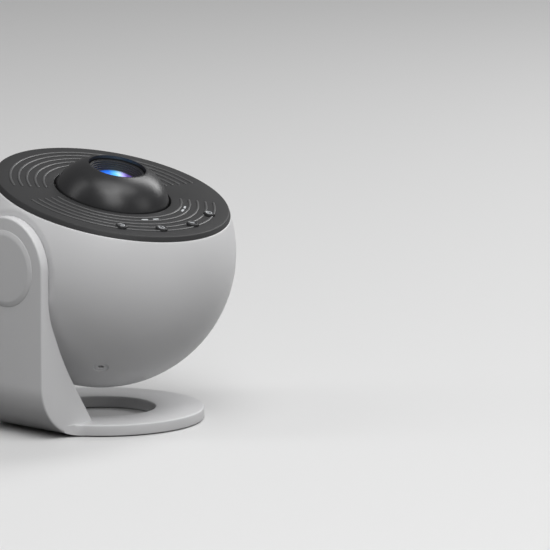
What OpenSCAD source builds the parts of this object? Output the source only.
// Home planetarium projector: a ball that holds a lamp, a turning star disc and a focusing lens,
// tilting on the pivot of a one-armed stand with a ring base.
// Millimetres. The origin is on the floor under the middle of the ball, +Z is up,
// the arm stands at -X and the lens leans towards -Y.

/* [Ball] */
// Outside diameter of the ball
ball_d = 130; // [120:1:145]
// Wall of the ball's moulded shell
shell_wall = 2.5; // [1.8:0.1:3.2]
// Lean of the lens axis from upright, towards the front
tilt = 14.7; // [0:0.1:30]
// Diameter of the flat on the side where the arm carries the ball
side_flat_d = 55; // [50:0.5:60]

/* [Front panel] */
// Height of the joint between ball and front panel above the middle of the ball
rim_h = 29; // [27:0.1:31]
// Height of the bevelled band round the panel
band_h = 2.5; // [2:0.1:4]
// Thickness of the panel
panel_t = 2.5; // [1.8:0.1:3]
// Plain band between the focus ring's well and the innermost orbit line
orbit_inner_band = 5.05; // [4.5:0.05:7]
// Plain band between the outermost orbit line and the panel's edge
orbit_outer_band = 7.1; // [5:0.1:8]
// Number of orbit lines
orbit_count = 5; // [3:1:5]
// Width of an orbit line
orbit_w = 1.3; // [0.8:0.1:1.8]
// Height of an orbit line above the panel
orbit_h = 0.5; // [0.3:0.1:0.8]

/* [Buttons] */
// Diameter of a button
button_d = 5.4; // [4.5:0.1:6]
// Angle of the first button
button_first_a = 231.5; // [229:0.5:234]
// Angle from one button to the next
button_step_a = 24.3; // [22:0.1:24.5]
// How far a button stands above the panel
button_proud = 1.2; // [0.9:0.1:1.8]
// Travel of a button
button_travel = 0.6; // [0.4:0.1:0.6]

/* [Focus ring] */
// Diameter of the focus ring at its foot
ring_foot_d = 55; // [53:0.5:57]
// Diameter of its mouth
ring_mouth_d = 28; // [27.5:0.1:30]
// Height of the ring above the panel
ring_rise = 13.1; // [11.5:0.1:14]
// Radius of the bulge between foot and mouth
ring_bulge_r = 21; // [18:0.5:30]
// Wall of the ring
ring_wall = 2; // [1.5:0.1:2.5]
// Gap between the ring's foot and the panel
ring_gap = 1; // [0.6:0.1:1.4]
// Depth of the well that the ring's foot stands in
well_depth = 4.3; // [3.5:0.1:5]
// Travel of the lens each way from its middle place
focus_travel = 1.5; // [0.8:0.1:1.6]
// Turn of the ring each way that gives that travel
focus_turn = 45; // [30:1:50]

/* [Lens] */
// Outside radius of the lens barrel
barrel_r = 12.45; // [12.2:0.05:12.6]
// Radius of the front lens
front_lens_r = 10.2; // [9:0.1:10.6]
// Radius of the rear lens
rear_lens_r = 8.6; // [7.5:0.1:9]
// Number of steps in the light baffle
baffle_steps = 5; // [3:1:7]

/* [Star disc] */
// Tooth size of the disc gears
gear_module = 1; // [0.9:0.05:1]
// Teeth on the disc gear
disc_teeth = 48; // [44:4:48]
// Teeth on the motor pinion
pinion_teeth = 12; // [11:1:12]
// Width of the gear teeth
gear_face_w = 3; // [2:0.1:3.5]
// Thickness of the star disc
disc_t = 0.5; // [0.3:0.1:1]

/* [Lamp] */
// Radius of the condenser lenses
condenser_r = 16; // [14:0.5:17]
// Number of fins on the heat sink
fin_count = 9; // [5:2:11]
// Height of the fins
fin_h = 15; // [8:1:18]

/* [Stand] */
// Width of the arm
arm_w = 49.5; // [44:0.5:54]
// Thickness of the arm
arm_t = 4.9; // [4.5:0.1:6]
// Outside radius of the bend from arm to base
bend_r = 25.5; // [20:0.5:30]
// Outside diameter of the base ring
base_d = 99; // [96:0.5:110]
// Radius of the hollow corner where the arm's side runs into the base ring
base_blend_r = 12; // [4:1:20]
// Diameter of the hole in the base ring
base_hole_d = 52; // [46:1:54]
// Thickness of the base ring
base_t = 5.4; // [5:0.1:7]
// Gap between the ball and the top of the base ring
ball_over_base = 10.1; // [8:0.1:14]
// Height that the rubber foot lifts the stand
foot_h = 0.5; // [0.3:0.1:1]
// Diameter of the cap over the pivot
cap_d = 36.8; // [34:0.2:40]
// How far that cap stands out of the arm
cap_proud = 0.8; // [0.5:0.1:1.2]

/* [Fits] */
// Running clearance on a radius
run = 0.05; // [0.02:0.01:0.08]
// Seating clearance between pieces that don't turn
seat = 0.05; // [0.02:0.01:0.1]
// Gap between the ball's flat and the arm
arm_gap = 0.4; // [0.3:0.1:0.8]

/* [Hidden] */
$fn = 96;
cut = 1;               // how far a cutter runs past the face it cuts
weld = 0.2;            // how far shapes of one piece run into each other
far = 200;             // size of a half-space cutter

// Ball
ball_r = ball_d / 2;
inner_r = ball_r - shell_wall;
flat_x = sqrt(pow(ball_r, 2) - pow(side_flat_d / 2, 2));
base_top = foot_h + base_t;
pivot_h = base_top + ball_over_base + ball_r;

// Front panel, heights above the middle of the ball along the lens axis
face_h = rim_h + band_h;
panel_under = face_h - panel_t;
panel_r = sqrt(pow(ball_r, 2) - pow(face_h, 2));
rim_inner_r = sqrt(pow(inner_r, 2) - pow(rim_h, 2));
skirt_fit = 0.25;
skirt_r = rim_inner_r - skirt_fit;
skirt_wall = 2;
skirt_h = 4;
hook_span = 14;
hook_angles = [20, 80, 140, 200, 340];
well_r = ring_foot_d / 2 + ring_gap;
well_wall = 1.9;
well_floor = face_h - well_depth;
floor_under = well_floor - well_wall;
orbit_first_r = well_r + orbit_inner_band;
orbit_last_r = panel_r - orbit_outer_band;
orbit_step = (orbit_last_r - orbit_first_r) / (orbit_count - 1);
boss_r = 3.2;
boss_inset = 4.9;
boss_circle_r = skirt_r - skirt_wall - boss_r - boss_inset;
boss_angles = [30, 150, 205, 335];

// Screws
screw_r = 1;
screw_head_r = 1.8;
screw_head_h = 1.5;
screw_bite = 2.6;      // length of a board screw in its peg
boss_bite = 6;         // length of a chassis screw in its boss

// Control board and buttons
board_t = 1.6;
board_under = panel_under - 5.2;
board_top = board_under + board_t;
board_inner_r = well_r + well_wall + 2.2;
board_outer_r = skirt_r - skirt_wall - 1.3;
board_first_a = 224;
board_span_a = 92;
peg_r = 1.9;
button_circle_r = orbit_last_r - orbit_step / 2;
peg_inset = 6.7;
peg_circle_r = button_circle_r - peg_inset;
peg_angles = [227, 266, 313];
button_r = button_d / 2;
button_hole_r = button_r + 0.25;
button_flange_r = button_r + 1;
button_flange_t = 0.9;
button_flange_top = panel_under - 0.3;
button_nub_r = 1;
button_nub_h = 0.25;
switch_w = 4.5;
switch_plunger_r = 1.2;
switch_top = button_flange_top - button_flange_t - button_nub_h - button_travel - 0.05;
window_circle_r = orbit_first_r + orbit_step / 2;
window_angles = [252.3, 262.3, 299.5, 307.5];
window_l = 3.4;
window_w = 1;

// Focus ring and sleeve
ring_foot_r = ring_foot_d / 2;
ring_mouth_r = ring_mouth_d / 2;
ring_top = face_h + ring_rise;
ring_skirt = 2;
ring_lip = 0.4;        // flat rim round the mouth
lip_r = ring_mouth_r + ring_lip;
bulge_chord = norm([ring_foot_r - lip_r, ring_rise]);
bulge_in = sqrt(pow(ring_bulge_r, 2) - pow(bulge_chord / 2, 2)) / bulge_chord;
bulge_r0 = (ring_foot_r + lip_r) / 2 - ring_rise * bulge_in;
bulge_z0 = face_h + ring_rise / 2 - (ring_foot_r - lip_r) * bulge_in;
sleeve_in_r = barrel_r + run;
sleeve_r = sleeve_in_r + 2;
sleeve_flange_t = 2;
sleeve_flange_r = 26;
sleeve_rise = 14;
sleeve_top = floor_under + sleeve_rise;
sleeve_screw_circle_r = 22;
sleeve_screw_angles = [60, 180, 300];
hub_in_r = sleeve_r + run;
hub_r = hub_in_r + 3;
hub_under = floor_under + run;
circlip_t = 1;
circlip_depth = 0.5;
circlip_z = sleeve_top - circlip_t - 0.1;
circlip_r = sleeve_r + 1.3;
hub_bore_top = ring_top - 3.4;
pin_r = 1;
pin_z = floor_under + 3.9;
pin_angles = [0, 120, 240];
pin_gap = 0.3;
slot_step_a = 5;

// Lens cell
lens_wall = 0.1;
barrel_top = sleeve_top - 0.7;
barrel_under = floor_under - 12.1;
lens_edge_t = 1.7;
front_bore_r = front_lens_r - 1;
stop_r = rear_lens_r - 1.2;
stop_t = 2;
stop_z = barrel_under + 6;
front_curve_r = 22;
front_back_curve_r = 42;
front_lens_z = barrel_top - lens_edge_t - lens_wall;
lens_seat = front_lens_z - bulge_past(front_back_curve_r, front_lens_r, front_bore_r) - 0.02;
rear_curve_r = 20;
rear_top_curve_r = 40;
rear_edge_t = 1.4;
rear_lens_z = stop_z - rear_edge_t - bulge_past(rear_top_curve_r, rear_lens_r, stop_r) - 0.02;
retainer_in_r = rear_lens_r - 1;
retainer_t = 1.4;
hood_r = ring_mouth_r - 0.6;
hood_top = ring_top - focus_travel - 0.3;
hood_neck_top = sleeve_top + focus_travel + 0.4;
hood_lip = 0.5;
hood_in_r = front_lens_r - 0.2;

// Star disc
disc_pitch_r = gear_module * disc_teeth / 2;
pinion_pitch_r = gear_module * pinion_teeth / 2;
gear_centres = disc_pitch_r + pinion_pitch_r;
backlash = 0.25;
chassis_top = 4;
chassis_t = 3;
chassis_under = chassis_top - chassis_t;
chassis_margin = 1.8;
chassis_r = boss_circle_r + boss_r + chassis_margin;
collar_r = 21.5 * disc_pitch_r / 24;
collar_wall = 2;
gear_under = chassis_top + 0.3;
gear_top = gear_under + gear_face_w;
disc_r = collar_r - 1.4;
disc_seat = gear_top - 1.5;
aperture_r = collar_r - 3.5;
keeper_r = disc_pitch_r + gear_module + 0.4;
keeper_w = 2;
keeper_reach = 2;
keeper_lip = 1;
keeper_span = 10;
keeper_angles = [30, 150, 270];
chassis_rib = 3.6;
chassis_rim = 7;
chassis_window_in_r = keeper_r + keeper_w + chassis_rib;
chassis_window_w = chassis_r - chassis_rim - chassis_window_in_r;
chassis_window_a = 36;
chassis_window_turn = 22;

// Motor
motor_r = 6;
motor_l = 15;
motor_plate_t = 1.2;
motor_plate_l = 23;
motor_plate_w = 6;
motor_screw_x = 9;
shaft_r = 1.5;
shaft_below = 6;
shaft_above = 9;

// Lamp house
holder_r = condenser_r + 2.4;
holder_bore_r = condenser_r + 0.4;
holder_flange_r = 28;
holder_flange_t = 2;
holder_screw_r = 25.2;
holder_screw_angles = [30, 150, 270];
lamp_base = chassis_under - 23;
foot_flange_r = holder_r + 3.6;
foot_flange_t = 1.6;
sink_screw_r = holder_r + 1.9;
condenser_edge_t = 1.8;
condenser_bulge = 4;
condenser_curve_r = (pow(condenser_r, 2) + pow(condenser_bulge, 2)) / (2 * condenser_bulge);
spacer_in_r = condenser_r - 0.8;
spacer_seat = condenser_edge_t + condenser_bulge - sag(condenser_curve_r, spacer_in_r) + seat;
front_condenser_top = chassis_under - 3.2;
rear_condenser_under = lamp_base + 7;
lip_w = 1.2;
lip_t = 1.5;
sink_base_t = 3;
fin_t = 1.2;
led_board_r = 14;
led_board_t = 1.5;
led_w = 5;
led_base_t = 0.8;
led_dome_r = 2.2;

// Main board
main_w = 36;
main_d = 11;
main_inset = 10;
main_y = main_inset - chassis_r;
main_z = chassis_top + 3;
chip_x = -1;
chip_w = 8;
chip_d = 6;
chip_h = 1.4;
capacitor_x = [-9.5, 8];
capacitor_r = 2.5;
capacitor_h = 7;
socket_x = [-14.75, 14.75];
socket_w = 3.5;
socket_l = 9;
socket_h = 4;
standoff_r = 1.6;
standoff_x = 15;
standoff_y = 3.6;

// Power jack, low on the arm's side of the ball
jack_lean = 127;
jack_turn = 234;
jack_r = 3.3;
jack_socket_r = 1.8;
jack_pin_r = 0.65;
jack_depth = 8;
jack_l = 11;
jack_front = ball_r - 0.6;
jack_flange_r = 5;
jack_flange_t = 1.6;

// Pivot, distances from the middle of the ball along the pivot axis towards the arm
arm_in = flat_x + arm_gap;
arm_out = arm_in + arm_t;
cap_out = arm_out + cap_proud;
cap_r = cap_d / 2;
cap_slope_w = 2.4;
cap_rim_h = 0.15;
spigot_wall = 1.2;
spigot_l = 1.4;
recess_r = 9.5;
recess_depth = 2.6;
recess_floor = arm_out - recess_depth;
axle_r = 5;
axle_flange_r = 13;
axle_flange_t = 2.5;
shell_flat_in = flat_x - shell_wall;
bush_r = 7;
washer_groove = 0.6;
washer_in_r = 10.5;
washer_out_r = 19.5;
pivot_screw_r = 2.5;
pivot_head_r = 4.5;
pivot_head_h = 1.3;
spring_washer_t = 0.8;
axle_screw_circle_r = 9.5;
axle_screw_angles = [0, 120, 240];
axle_screw_r = 0.9;

// Stand
base_r = base_d / 2;
base_hole_r = base_hole_d / 2;
base_edge = 0.8;
gusset_start = 21;     // below the pivot
gusset_knee = 46;      // below the pivot
gusset_upper_a = 22.5;
gusset_lower_a = 32.3;
knee_x = arm_in - (gusset_knee - gusset_start) * tan(gusset_upper_a);
toe_x = knee_x - (pivot_h - gusset_knee - base_top) * tan(gusset_lower_a);
ball_pocket_gap = 1.5;
cover_t = 1.2;
cover_margin = 1.4;
ballast_t = 1.9;
ballast_inner_rib = 2.8;
ballast_outer_rib = 7.6;
ballast_in_r = base_hole_r + ballast_inner_rib;
ballast_out_r = base_r - ballast_outer_rib;
cover_screw_inset = 4.5;
cover_screw_circle_r = base_r - cover_screw_inset;
cover_screw_angles = [45, 135, 225, 315];
cover_screw_r = 1;
cover_head_r = 2;
foot_inner_margin = 2;
foot_outer_margin = 1.5;
foot_in_r = ballast_in_r + foot_inner_margin;
foot_out_r = ballast_out_r - foot_outer_margin;

// How far a sphere falls away from its pole at the radius r
function sag(curve_r, r) = curve_r - sqrt(pow(curve_r, 2) - pow(r, 2));

// How far a lens stands past its edge where a seat of a smaller radius touches it
function bulge_past(curve_r, edge_r, seat_r) = sag(curve_r, edge_r) - sag(curve_r, seat_r);

module at_pivot() {
    translate([0, 0, pivot_h]) children();
}

// Along the lens axis, from the middle of the ball
module on_lens_axis() {
    at_pivot() rotate([tilt, 0, 0]) children();
}

// Along the pivot axis towards the arm, standing still with the stand
module on_arm_axis() {
    at_pivot() rotate([0, -90, 0]) children();
}

// The same axis, turning with the ball
module on_axle_axis() {
    on_lens_axis() rotate([0, -90, 0]) children();
}

module on_jack_axis() {
    on_lens_axis() rotate([0, jack_lean, jack_turn]) children();
}

module rod(r, z0, z1) {
    translate([0, 0, z0]) cylinder(r = r, h = z1 - z0);
}

module tube(r_out, r_in, z0, z1) {
    difference() {
        rod(r_out, z0, z1);
        rod(r_in, z0 - cut, z1 + cut);
    }
}

module around(radius, angles) {
    for (a = angles) rotate([0, 0, a]) translate([radius, 0, 0]) children();
}

// Pan-head screw whose shank points along +Z from the seat of its head
module screw(r, head_r, head_h, reach) {
    rod(r, -seat, reach);
    rod(head_r, -head_h, 0);
}

// A ring with rounded upper edges, standing on z0
module ring_profile(r_in, r_out, z0, z1, edge) {
    translate([r_in, z0]) square([r_out - r_in, z1 - z0 - edge]);
    translate([r_in + edge, z0]) square([r_out - r_in - 2 * edge, z1 - z0]);
    translate([r_in + edge, z1 - edge]) circle(r = edge);
    translate([r_out - edge, z1 - edge]) circle(r = edge);
}

// ---------------------------------------------------------------- stand

// Side outline of the arm: thin at the pivot, thickening to the base and following the ball
module arm_outline() {
    polygon([[-arm_out, foot_h], [-arm_out, pivot_h + arm_w], [-arm_in, pivot_h + arm_w],
        [-arm_in, pivot_h - gusset_start], [-knee_x, pivot_h - gusset_knee], [-toe_x, base_top],
        [-toe_x + base_t, foot_h]]);
}

// Everything inside the large bend from the arm's outer face to the floor
module bend_envelope() {
    bend_z = foot_h + bend_r;
    bend_x = -arm_out + bend_r;
    translate([bend_x, 0, bend_z]) rotate([90, 0, 0]) cylinder(r = bend_r, h = far, center = true);
    translate([-arm_out, -far / 2, bend_z]) cube([far, far, far]);
    translate([bend_x, -far / 2, foot_h]) cube([far, far, far]);
}

// The arm's outline from its broad side: parallel, with a round head about the pivot
module arm_front() {
    on_arm_axis() cylinder(r = arm_w / 2, h = far);
    translate([-far, -arm_w / 2, 0]) cube([far, arm_w, pivot_h]);
}

module arm_solid() {
    intersection() {
        translate([0, arm_w / 2, 0]) rotate([90, 0, 0]) linear_extrude(arm_w) arm_outline();
        arm_front();
    }
}

// Room for the ball where the thick part of the arm comes near it
module ball_pocket() {
    intersection() {
        at_pivot() sphere(r = ball_r + ball_pocket_gap);
        translate([-arm_in, -far / 2, 0]) cube([far, far, far]);
    }
}

// Hollow corners between the arm's sides and the base ring
module base_blends() {
    centre_y = arm_w / 2 + base_blend_r;
    centre_x = sqrt(pow(base_r + base_blend_r, 2) - pow(centre_y, 2));
    touch = base_r / (base_r + base_blend_r);
    for (side = [-1, 1]) translate([0, 0, foot_h]) difference() {
        linear_extrude(base_t - base_edge)
            polygon([[-centre_x, side * arm_w / 2], [-touch * centre_x, side * touch * centre_y],
                [-touch * centre_x + base_edge, 0], [-centre_x, 0]]);
        translate([-centre_x, side * centre_y, -cut]) cylinder(r = base_blend_r, h = base_t + 2 * cut);
    }
}

module stand_frame() color("gainsboro") {
    difference() {
        intersection() {
            union() {
                arm_solid();
                rotate_extrude() ring_profile(base_hole_r, base_r, foot_h, base_top, base_edge);
                base_blends();
            }
            bend_envelope();
        }
        ball_pocket();
        rod(base_hole_r, foot_h - cut, base_top - base_edge);
        // recess for the cover, pocket for the ballast and holes for the screws
        tube(base_r - cover_margin, base_hole_r + cover_margin, foot_h - cut, foot_h + cover_t);
        tube(ballast_out_r, ballast_in_r, foot_h, foot_h + cover_t + ballast_t + seat);
        around(cover_screw_circle_r, cover_screw_angles) rod(cover_screw_r + seat, foot_h, base_top - 1);
        // pivot: bore for the bush, groove for the washer, recess under the cap
        on_arm_axis() rod(bush_r, arm_in - cut, arm_out + cut);
        on_arm_axis() rod(recess_r, recess_floor, arm_out + cut);
        on_arm_axis() tube(washer_out_r + seat, washer_in_r - seat, arm_in - cut, arm_in + washer_groove);
    }
}

module base_cover() color("dimgray") {
    difference() {
        intersection() {
            tube(base_r - cover_margin - seat, base_hole_r + cover_margin + seat, foot_h, foot_h + cover_t);
            bend_envelope();
        }
        around(cover_screw_circle_r, cover_screw_angles)
            rod(cover_head_r + seat, foot_h - cut, foot_h + cover_t + cut);
    }
}

module ballast_plate() color("slategray") {
    tube(ballast_out_r - seat, ballast_in_r + seat, foot_h + cover_t, foot_h + cover_t + ballast_t);
}

module foot_ring() color("black") {
    tube(foot_out_r, foot_in_r, 0, foot_h);
}

module cover_screws() color("silver") {
    around(cover_screw_circle_r, cover_screw_angles)
        translate([0, 0, foot_h + cover_t]) screw(cover_screw_r, cover_head_r, cover_t, 2.4);
}

module pivot_cap() color("whitesmoke") {
    on_arm_axis() {
        // a low rim and a wide slope up to the flat face
        rotate_extrude()
            polygon([[0, arm_out], [cap_r, arm_out], [cap_r, arm_out + cap_rim_h],
                [cap_r - cap_slope_w, cap_out], [0, cap_out]]);
        tube(recess_r - seat, recess_r - spigot_wall, arm_out - spigot_l, arm_out + weld);
    }
}

module pivot_bush() color("goldenrod") {
    on_arm_axis() tube(bush_r - seat / 2, axle_r + run, arm_in, recess_floor);
}

module friction_washer() color("saddlebrown") {
    on_arm_axis() tube(washer_out_r, washer_in_r, flat_x + 0.1, arm_in + washer_groove);
}

// ---------------------------------------------------------------- ball

module ball_shell() color("gainsboro") {
    on_lens_axis() difference() {
        sphere(r = ball_r);
        intersection() {
            sphere(r = inner_r);
            translate([-shell_flat_in, -far / 2, -far / 2]) cube(far);
        }
        translate([-far / 2, -far / 2, rim_h]) cube(far);
        translate([-far - flat_x, -far / 2, -far / 2]) cube(far);
        rotate([0, -90, 0]) rod(axle_r + seat, shell_flat_in - cut, flat_x + cut);
        rotate([0, -90, 0]) around(axle_screw_circle_r, axle_screw_angles)
            rod(axle_screw_r + seat, shell_flat_in - cut, flat_x - 0.6);
        rotate([0, jack_lean, jack_turn]) rod(jack_r + seat, inner_r - 2, ball_r + cut);
    }
}

module orbit_lines() {
    // two groups of arcs with plain gaps between them, drawn as [first angle, span]
    for (i = [0 : orbit_count - 1])
        for (arc = [[-5, 158], [175, 150]])
            rotate([0, 0, arc[0]])
                rotate_extrude(angle = arc[1])
                    translate([orbit_first_r + i * orbit_step, face_h])
                        intersection() {
                            translate([-orbit_w, -orbit_h]) square([2 * orbit_w, 2 * orbit_h]);
                            translate([0, orbit_h - orbit_line_r()]) circle(r = orbit_line_r());
                        }
}

// Radius of the round top that gives an orbit line its width and height
function orbit_line_r() = (pow(orbit_w / 2, 2) + pow(orbit_h, 2)) / (2 * orbit_h);

module window_shape(gap, z0, z1) {
    end_r = window_w / 2 + gap;
    half = (window_l - window_w) / 2;
    translate([-end_r, -half, z0]) cube([2 * end_r, 2 * half, z1 - z0]);
    for (side = [-1, 1]) translate([0, side * half, 0]) rod(end_r, z0, z1);
}

module panel_hooks() {
    hook_z = rim_h - 1.4;
    hook_r = sqrt(pow(inner_r, 2) - pow(hook_z, 2)) - 0.2;
    for (a = hook_angles)
        rotate([0, 0, a - hook_span / 2]) rotate_extrude(angle = hook_span)
            polygon([[skirt_r - skirt_wall / 2, rim_h - skirt_h + weld], [skirt_r, rim_h - skirt_h + weld],
                [hook_r, hook_z - 1.7], [hook_r, hook_z], [skirt_r, rim_h - 0.5],
                [skirt_r - skirt_wall / 2, rim_h - 0.5]]);
}

module front_panel() color("darkslategray") {
    on_lens_axis() difference() {
        union() {
            // face and bevelled band, turned from the same sphere as the ball
            difference() {
                intersection() {
                    sphere(r = ball_r);
                    rod(ball_r, rim_h, face_h);
                }
                rod(skirt_r - skirt_wall, rim_h - cut, panel_under);
            }
            tube(skirt_r, skirt_r - skirt_wall, rim_h - skirt_h, rim_h + weld);
            panel_hooks();
            tube(well_r + well_wall, hub_r + 0.4, floor_under, panel_under + weld);
            around(boss_circle_r, boss_angles) rod(boss_r, chassis_top, panel_under + weld);
            around(peg_circle_r, peg_angles) rod(peg_r, board_top, panel_under + weld);
            orbit_lines();
        }
        rod(well_r, well_floor, face_h + cut);
        rod(hub_r + 0.4, floor_under - cut, well_floor + cut);
        around(boss_circle_r, boss_angles) rod(screw_r + seat, chassis_top - cut, chassis_top + 8);
        around(peg_circle_r, peg_angles) rod(screw_r + seat, board_top - cut, panel_under - 0.4);
        around(sleeve_screw_circle_r, sleeve_screw_angles) rod(screw_r + seat, floor_under - cut, well_floor - 0.3);
        around(button_circle_r, button_angles()) rod(button_hole_r, panel_under - cut, face_h + cut + orbit_h);
        around(window_circle_r, window_angles) window_shape(0.05, panel_under - cut, face_h + cut);
    }
}

function button_angles() = [for (i = [0 : 3]) button_first_a + i * button_step_a];

module pivot_axle() color("silver") {
    on_axle_axis() difference() {
        union() {
            rod(axle_flange_r, shell_flat_in - axle_flange_t, shell_flat_in);
            rod(axle_r, shell_flat_in - cut, recess_floor - 0.1);
        }
        rod(pivot_screw_r + seat, shell_flat_in - axle_flange_t + 0.8, recess_floor);
        around(axle_screw_circle_r, axle_screw_angles)
            rod(axle_screw_r + seat, shell_flat_in - axle_flange_t - cut, shell_flat_in + cut);
    }
}

module axle_screws() color("silver") {
    on_axle_axis() around(axle_screw_circle_r, axle_screw_angles)
        translate([0, 0, shell_flat_in - axle_flange_t]) screw(axle_screw_r, 1.7, 1.2, axle_flange_t + 1.6);
}

module spring_washer() color("dimgray") {
    on_axle_axis() tube(recess_r - 1.3, pivot_screw_r + 0.1, recess_floor + 0.05, recess_floor + 0.05 + spring_washer_t);
}

module pivot_screw() color("silver") {
    head_seat = recess_floor + 0.1 + spring_washer_t;
    on_axle_axis() difference() {
        union() {
            rod(pivot_screw_r, shell_flat_in - 1, head_seat + seat);
            rod(pivot_head_r, head_seat, head_seat + pivot_head_h);
        }
        translate([0, 0, head_seat + 0.5]) {
            translate([-2.6, -0.5, 0]) cube([5.2, 1, far]);
            translate([-0.5, -2.6, 0]) cube([1, 5.2, far]);
        }
    }
}

module power_jack() color("black") {
    on_jack_axis() {
        difference() {
            union() {
                rod(jack_r, jack_front - jack_l, jack_front);
                rod(jack_flange_r, inner_r - jack_flange_t - 0.3, inner_r - 0.3);
            }
            rod(jack_socket_r, jack_front - jack_depth, jack_front + cut);
        }
        rod(jack_pin_r, jack_front - jack_depth - seat, jack_front - 1);
    }
}

// ---------------------------------------------------------------- focusing

module focus_sleeve() color("dimgray") {
    on_lens_axis() difference() {
        union() {
            rod(sleeve_r, floor_under - sleeve_flange_t, sleeve_top);
            rod(sleeve_flange_r, floor_under - sleeve_flange_t, floor_under);
        }
        rod(sleeve_in_r, floor_under - sleeve_flange_t - cut, sleeve_top + cut);
        around(sleeve_screw_circle_r, sleeve_screw_angles)
            rod(screw_r + seat, floor_under - sleeve_flange_t - cut, floor_under + cut);
        // straight slots that keep the lens from turning
        for (a = pin_angles) rotate([0, 0, a])
            translate([sleeve_in_r - cut, -pin_r - 0.1, pin_z - focus_travel - pin_r - pin_gap])
                cube([2 + 2 * cut, 2 * pin_r + 0.2, 2 * (focus_travel + pin_r + pin_gap)]);
        tube(sleeve_r + cut, sleeve_r - circlip_depth, circlip_z, circlip_z + circlip_t);
    }
}

module sleeve_screws() color("silver") {
    on_lens_axis() around(sleeve_screw_circle_r, sleeve_screw_angles)
        translate([0, 0, floor_under - sleeve_flange_t])
            screw(screw_r, screw_head_r, screw_head_h, sleeve_flange_t + 1.4);
}

module focus_circlip() color("silver") {
    on_lens_axis() difference() {
        tube(circlip_r, sleeve_r - circlip_depth + seat, circlip_z + seat, circlip_z + circlip_t - seat);
        translate([0, -1.5, circlip_z - cut]) cube([far, 3, 2 * cut + circlip_t]);
    }
}

module ring_section() {
    difference() {
        intersection() {
            translate([bulge_r0, bulge_z0]) circle(r = ring_bulge_r);
            translate([ring_mouth_r, face_h - ring_skirt])
                square([ring_foot_r - ring_mouth_r, ring_skirt + ring_rise]);
        }
        // hollow behind the bulge
        intersection() {
            translate([bulge_r0, bulge_z0]) circle(r = ring_bulge_r - ring_wall);
            translate([hub_r, face_h - ring_skirt - cut]) square([ring_foot_r, ring_rise]);
        }
        translate([hub_r, face_h - ring_skirt - cut]) square([ring_foot_r - ring_wall - hub_r, ring_skirt + cut]);
    }
    translate([ring_mouth_r, hub_under]) square([hub_r - ring_mouth_r, hub_bore_top - hub_under]);
}

module focus_ring() color("dimgray") {
    on_lens_axis() difference() {
        rotate_extrude() ring_section();
        rod(hub_in_r, hub_under - cut, circlip_z - 0.1);
        rod(circlip_r + 0.15, circlip_z - 0.1 - seat, hub_bore_top);
        // helical slots: turning the ring drives the pins up or down
        for (a = pin_angles, s = [-focus_turn : slot_step_a : focus_turn])
            rotate([0, 0, a - s])
                translate([hub_in_r - cut, 0, pin_z + focus_travel * s / focus_turn])
                    rotate([0, 90, 0]) cylinder(r = pin_r + pin_gap, h = hub_r - hub_in_r + cut + cut);
    }
}

module lens_barrel() color("dimgray") {
    on_lens_axis() difference() {
        rod(barrel_r, barrel_under, barrel_top);
        rod(front_bore_r, stop_z + stop_t, barrel_top);
        rod(front_lens_r + lens_wall, lens_seat, barrel_top + cut);
        rod(stop_r, barrel_under - cut, barrel_top);
        rod(rear_lens_r + lens_wall, barrel_under - cut, stop_z);
        for (a = pin_angles) rotate([0, 0, a])
            translate([front_bore_r - cut, 0, pin_z]) rotate([0, 90, 0])
                cylinder(r = pin_r + seat / 2, h = barrel_r);
    }
}

module cam_pins() color("silver") {
    on_lens_axis() for (a = pin_angles) rotate([0, 0, a])
        translate([front_bore_r + 0.2, 0, pin_z]) rotate([0, 90, 0])
            cylinder(r = pin_r, h = hub_r - front_bore_r - 0.5);
}

module baffle_hood() color("black") {
    step_h = (hood_top - barrel_top) / baffle_steps;
    step_r = (hood_r - hood_lip - hood_in_r) / baffle_steps;
    on_lens_axis() difference() {
        union() {
            rod(barrel_r, barrel_top, hood_neck_top);
            rod(hood_r, hood_neck_top - seat, hood_top);
        }
        for (i = [0 : baffle_steps - 1])
            rod(hood_in_r + (i + 1) * step_r, barrel_top + (i + 0.5) * step_h, hood_top + cut);
        rod(hood_in_r, barrel_top - cut, hood_top);
    }
}

// Lens with an outward bulge on each face, seated on its flat edge from z0 to z0 + edge_t
module lens(r, edge_t, z0, top_curve_r, under_curve_r) {
    top_centre = z0 + edge_t + sag(top_curve_r, r) - top_curve_r;
    under_centre = z0 - sag(under_curve_r, r) + under_curve_r;
    intersection() {
        rod(r, z0 - r, z0 + edge_t + r);
        translate([0, 0, top_centre]) sphere(r = top_curve_r);
        translate([0, 0, under_centre]) sphere(r = under_curve_r);
    }
}

module front_lens() color("mediumslateblue") {
    on_lens_axis() lens(front_lens_r, lens_edge_t, front_lens_z, front_curve_r, front_back_curve_r);
}

module rear_lens() color("lightsteelblue") {
    on_lens_axis() lens(rear_lens_r, rear_edge_t, rear_lens_z, rear_top_curve_r, rear_curve_r);
}

module lens_retainer() color("black") {
    top = rear_lens_z - bulge_past(rear_curve_r, rear_lens_r, retainer_in_r) - seat;
    on_lens_axis() tube(rear_lens_r + seat, retainer_in_r, top - retainer_t, top);
}

// ---------------------------------------------------------------- controls

module control_board() color("darkgreen") {
    on_lens_axis() difference() {
        rotate([0, 0, board_first_a]) rotate_extrude(angle = board_span_a)
            translate([board_inner_r, board_under]) square([board_outer_r - board_inner_r, board_t]);
        around(peg_circle_r, peg_angles) rod(screw_r + seat, board_under - cut, board_top + cut);
    }
}

module board_screws() color("silver") {
    on_lens_axis() around(peg_circle_r, peg_angles)
        translate([0, 0, board_under]) screw(screw_r, screw_head_r, screw_head_h, board_t + screw_bite);
}

module tact_switches() color("black") {
    on_lens_axis() around(button_circle_r, button_angles()) {
        translate([-switch_w / 2, -switch_w / 2, board_top]) cube([switch_w, switch_w, switch_top - board_top - 0.3]);
        rod(switch_plunger_r, board_top, switch_top);
    }
}

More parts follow.
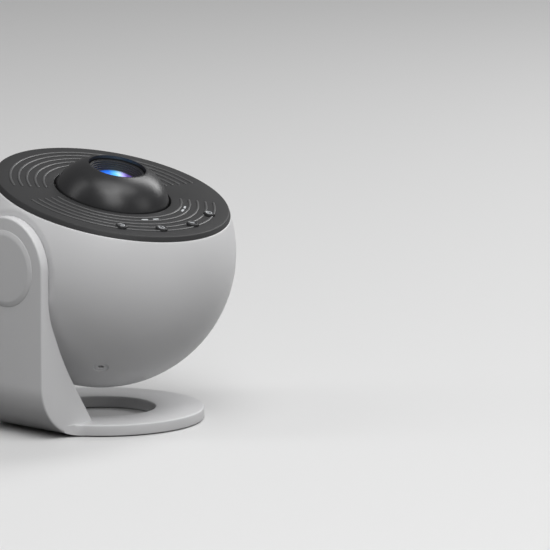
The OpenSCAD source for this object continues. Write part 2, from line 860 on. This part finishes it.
module light_pipes() color("aliceblue") {
    on_lens_axis() around(window_circle_r, window_angles) window_shape(0, board_top + 1, face_h + 0.1);
}

module status_leds() color("lightyellow") {
    on_lens_axis() around(window_circle_r, window_angles)
        translate([-0.4, -0.8, board_top]) cube([0.8, 1.6, 0.7]);
}

module button(index) {
    flange_under = button_flange_top - button_flange_t;
    crown_r = 3 * button_d;
    on_lens_axis() around(button_circle_r, [button_angles()[index]]) {
        intersection() {
            rod(button_r, button_flange_top - seat, face_h + button_proud);
            translate([0, 0, face_h + button_proud - crown_r]) sphere(r = crown_r);
        }
        rod(button_flange_r, flange_under, button_flange_top);
        rod(button_nub_r, flange_under - button_nub_h, flange_under);
    }
}

module power_button() color("gray") button(0);

module turn_button() color("gray") button(1);

module meteor_button() color("gray") button(2);

module timer_button() color("gray") button(3);

// ---------------------------------------------------------------- star disc and its drive

// Outline of one tooth, from root to tip and back, about the angle a
function tooth_outline(teeth, a) =
    let(pitch_r = gear_module * teeth / 2,
        root_r = pitch_r - 1.2 * gear_module,
        tip_r = pitch_r + 0.95 * gear_module,
        root_half = 0.36 * 360 / teeth,
        pitch_half = 90 / teeth - backlash / pitch_r * 90 / PI,
        tip_half = 0.42 * pitch_half)
    [polar(root_r, a - root_half), polar(pitch_r, a - pitch_half), polar(tip_r, a - tip_half),
        polar(tip_r, a + tip_half), polar(pitch_r, a + pitch_half), polar(root_r, a + root_half)];

module gear(teeth, z0, z1) {
    translate([0, 0, z0]) linear_extrude(z1 - z0)
        polygon([for (i = [0 : teeth - 1]) each tooth_outline(teeth, i * 360 / teeth)]);
}

function polar(r, a) = [r * cos(a), r * sin(a)];

module optics_chassis() color("dimgray") {
    keeper_top = gear_top + 0.3 + keeper_lip;
    on_lens_axis() {
        difference() {
            rod(chassis_r, chassis_under, chassis_top);
            rod(collar_r + run, chassis_under - cut, chassis_top + cut);
            translate([0, gear_centres, 0]) rod(shaft_r + 0.5, chassis_under - cut, chassis_top + cut);
            for (side = [-1, 1])
                translate([side * motor_screw_x, gear_centres, 0]) rod(screw_r + seat, chassis_under - cut, chassis_top - 0.4);
            around(holder_screw_r, holder_screw_angles) rod(screw_r + seat, chassis_under - cut, chassis_top - 0.4);
            around(boss_circle_r, boss_angles) rod(screw_r + seat, chassis_under - cut, chassis_top + cut);
            // lightening windows on both sides
            for (side = [0, 180])
                rotate([0, 0, side - chassis_window_turn]) rotate_extrude(angle = chassis_window_a)
                    translate([chassis_window_in_r, chassis_under - cut])
                        square([chassis_window_w, chassis_t + 2 * cut]);
        }
        // keepers that hold the gear down by its rim
        for (a = keeper_angles)
            rotate([0, 0, a - keeper_span / 2]) rotate_extrude(angle = keeper_span) {
                translate([keeper_r, chassis_top - seat]) square([keeper_w, keeper_top - chassis_top + seat]);
                translate([keeper_r - keeper_reach, keeper_top - keeper_lip]) square([keeper_reach + keeper_w, keeper_lip]);
            }
        for (x = [-standoff_x, standoff_x], y = [-standoff_y, standoff_y])
            translate([x, main_y + y, 0]) rod(standoff_r, chassis_top - seat, main_z);
    }
}

module chassis_screws() color("silver") {
    on_lens_axis() around(boss_circle_r, boss_angles)
        translate([0, 0, chassis_under]) screw(screw_r, screw_head_r, screw_head_h, chassis_t + boss_bite);
}

module main_board() color("darkgreen") {
    on_lens_axis() translate([0, main_y, main_z]) {
        translate([-main_w / 2, -main_d / 2, 0]) cube([main_w, main_d, board_t]);
        translate([chip_x - chip_w / 2, -chip_d / 2, board_t - seat]) cube([chip_w, chip_d, chip_h]);
        for (x = capacitor_x) translate([x, 0, 0]) rod(capacitor_r, board_t - seat, board_t + capacitor_h);
        for (x = socket_x)
            translate([x - socket_w / 2, -socket_l / 2, board_t - seat]) cube([socket_w, socket_l, socket_h]);
    }
}

module disc_gear() color("ivory") {
    on_lens_axis() difference() {
        union() {
            gear(disc_teeth, gear_under, gear_top);
            rod(collar_r, chassis_under + 0.3, gear_under + seat);
        }
        rod(aperture_r, chassis_under - cut, gear_top + cut);
        rod(collar_r - collar_wall, chassis_under - cut, gear_under - 1);
        rod(disc_r + seat, disc_seat, gear_top + cut);
    }
}

module star_disc() color("midnightblue") {
    on_lens_axis() rod(disc_r, disc_seat, disc_seat + disc_t);
}

module disc_clamp() color("black") {
    on_lens_axis() tube(disc_r, aperture_r + 0.4, disc_seat + disc_t, gear_top - 0.05);
}

module at_motor() {
    on_lens_axis() translate([0, gear_centres, 0]) children();
}

module disc_motor() color("silver") {
    at_motor() difference() {
        union() {
            rod(motor_r, chassis_under - motor_l, chassis_under);
            intersection() {
                translate([-motor_plate_l / 2, -motor_plate_w / 2, chassis_under - motor_plate_t])
                    cube([motor_plate_l, motor_plate_w, motor_plate_t]);
                rod(motor_plate_l / 2, chassis_under - motor_plate_t, chassis_under);
            }
        }
        rod(shaft_r + run, chassis_under - shaft_below - 0.3, chassis_under + cut);
        for (side = [-1, 1])
            translate([side * motor_screw_x, 0, 0]) rod(screw_r + seat, chassis_under - motor_plate_t - cut, chassis_under + cut);
    }
}

module motor_screws() color("silver") {
    at_motor() for (side = [-1, 1])
        translate([side * motor_screw_x, 0, chassis_under - motor_plate_t])
            screw(screw_r, screw_head_r, screw_head_h, motor_plate_t + 2);
}

module motor_shaft() color("silver") {
    at_motor() rod(shaft_r, chassis_under - shaft_below, chassis_under + shaft_above);
}

module drive_pinion() color("ivory") {
    // turned so that a gap of the pinion faces the tooth of the disc gear on the line of centres
    facing = 270 + 180 / pinion_teeth;
    at_motor() difference() {
        union() {
            rotate([0, 0, facing]) gear(pinion_teeth, gear_under + 0.2, gear_top - 0.2);
            rod(shaft_r + 1.5, gear_top - 0.2 - seat, gear_top + 1.8);
        }
        rod(shaft_r + seat / 2, gear_under - cut, gear_top + 3);
    }
}

// ---------------------------------------------------------------- lamp

module condenser_holder() color("dimgray") {
    on_lens_axis() difference() {
        union() {
            rod(holder_r, lamp_base, chassis_under);
            rod(holder_flange_r, chassis_under - holder_flange_t, chassis_under);
            rod(foot_flange_r, lamp_base, lamp_base + foot_flange_t);
        }
        rod(holder_bore_r - lip_w, lamp_base - cut, chassis_under + cut);
        rod(holder_bore_r, rear_condenser_under, chassis_under + cut);
        rod(holder_bore_r, lamp_base - cut, rear_condenser_under - lip_t);
        translate([0, gear_centres, 0]) rod(motor_r + 0.5, lamp_base, chassis_under + cut);
        translate([-motor_plate_l / 2 - 0.5, gear_centres - motor_plate_w / 2 - 0.5, lamp_base + foot_flange_t + cut])
            cube([motor_plate_l + 1, far, far]);
        around(holder_screw_r, holder_screw_angles) rod(screw_r + seat, chassis_under - holder_flange_t - cut, chassis_under + cut);
        around(sink_screw_r, holder_screw_angles) rod(screw_r + seat, lamp_base - cut, lamp_base + foot_flange_t + cut);
    }
}

module holder_screws() color("silver") {
    on_lens_axis() around(holder_screw_r, holder_screw_angles)
        translate([0, 0, chassis_under - holder_flange_t])
            screw(screw_r, screw_head_r, screw_head_h, holder_flange_t + 2);
}

// Plano-convex lens, flat on z0, bulging upwards
module condenser(z0) {
    intersection() {
        rod(condenser_r, z0, z0 + condenser_edge_t + condenser_bulge);
        translate([0, 0, z0 + condenser_edge_t + condenser_bulge - condenser_curve_r]) sphere(r = condenser_curve_r);
    }
}

module front_condenser() color("azure") {
    on_lens_axis() translate([0, 0, front_condenser_top]) mirror([0, 0, 1]) condenser(0);
}

module rear_condenser() color("azure") {
    on_lens_axis() condenser(rear_condenser_under + seat);
}

module condenser_spacer() color("silver") {
    on_lens_axis() tube(condenser_r + 0.3, spacer_in_r, rear_condenser_under + seat + spacer_seat,
        front_condenser_top - spacer_seat);
}

module condenser_clip() color("silver") {
    on_lens_axis() tube(condenser_r + 0.3, condenser_r - 1.2, front_condenser_top + seat, front_condenser_top + 1.2);
}

module heat_sink() color("silver") {
    pitch = 2 * (foot_flange_r - 1.5) / (fin_count - 1);
    sink_top = lamp_base - seat;
    on_lens_axis() difference() {
        union() {
            rod(foot_flange_r, sink_top - sink_base_t, sink_top);
            intersection() {
                rod(foot_flange_r, sink_top - sink_base_t - fin_h, sink_top - sink_base_t + seat);
                for (i = [0 : fin_count - 1])
                    translate([(i - (fin_count - 1) / 2) * pitch - fin_t / 2, -far / 2, -far])
                        cube([fin_t, far, far]);
            }
        }
        around(sink_screw_r, holder_screw_angles) rod(screw_r + seat, sink_top - sink_base_t + 0.4, sink_top + cut);
    }
}

module sink_screws() color("silver") {
    on_lens_axis() around(sink_screw_r, holder_screw_angles)
        translate([0, 0, lamp_base + foot_flange_t]) mirror([0, 0, 1])
            screw(screw_r, screw_r + 0.6, screw_head_h, foot_flange_t + 2);
}

module led_board() color("white") {
    on_lens_axis() difference() {
        rod(led_board_r, lamp_base, lamp_base + led_board_t);
        around(led_board_r, [0 : 60 : 300]) rod(1.8, lamp_base - cut, lamp_base + led_board_t + cut);
    }
}

module lamp_led() color("khaki") {
    led_z = lamp_base + led_board_t;
    on_lens_axis() {
        translate([-led_w / 2, -led_w / 2, led_z]) cube([led_w, led_w, led_base_t]);
        intersection() {
            translate([0, 0, led_z + led_base_t]) sphere(r = led_dome_r);
            rod(led_w, led_z + led_base_t - seat, led_z + led_w);
        }
    }
}

stand_frame();
base_cover();
ballast_plate();
foot_ring();
cover_screws();
pivot_cap();
pivot_bush();
friction_washer();
ball_shell();
front_panel();
pivot_axle();
axle_screws();
spring_washer();
pivot_screw();
power_jack();
focus_sleeve();
sleeve_screws();
focus_circlip();
control_board();
tact_switches();
board_screws();
light_pipes();
status_leds();
optics_chassis();
chassis_screws();
main_board();
disc_motor();
motor_screws();
condenser_holder();
holder_screws();
front_condenser();
rear_condenser();
condenser_spacer();
condenser_clip();
heat_sink();
sink_screws();
led_board();
lamp_led();
focus_ring();
lens_barrel();
baffle_hood();
front_lens();
rear_lens();
lens_retainer();
cam_pins();
disc_gear();
star_disc();
disc_clamp();
drive_pinion();
motor_shaft();
power_button();
turn_button();
meteor_button();
timer_button();
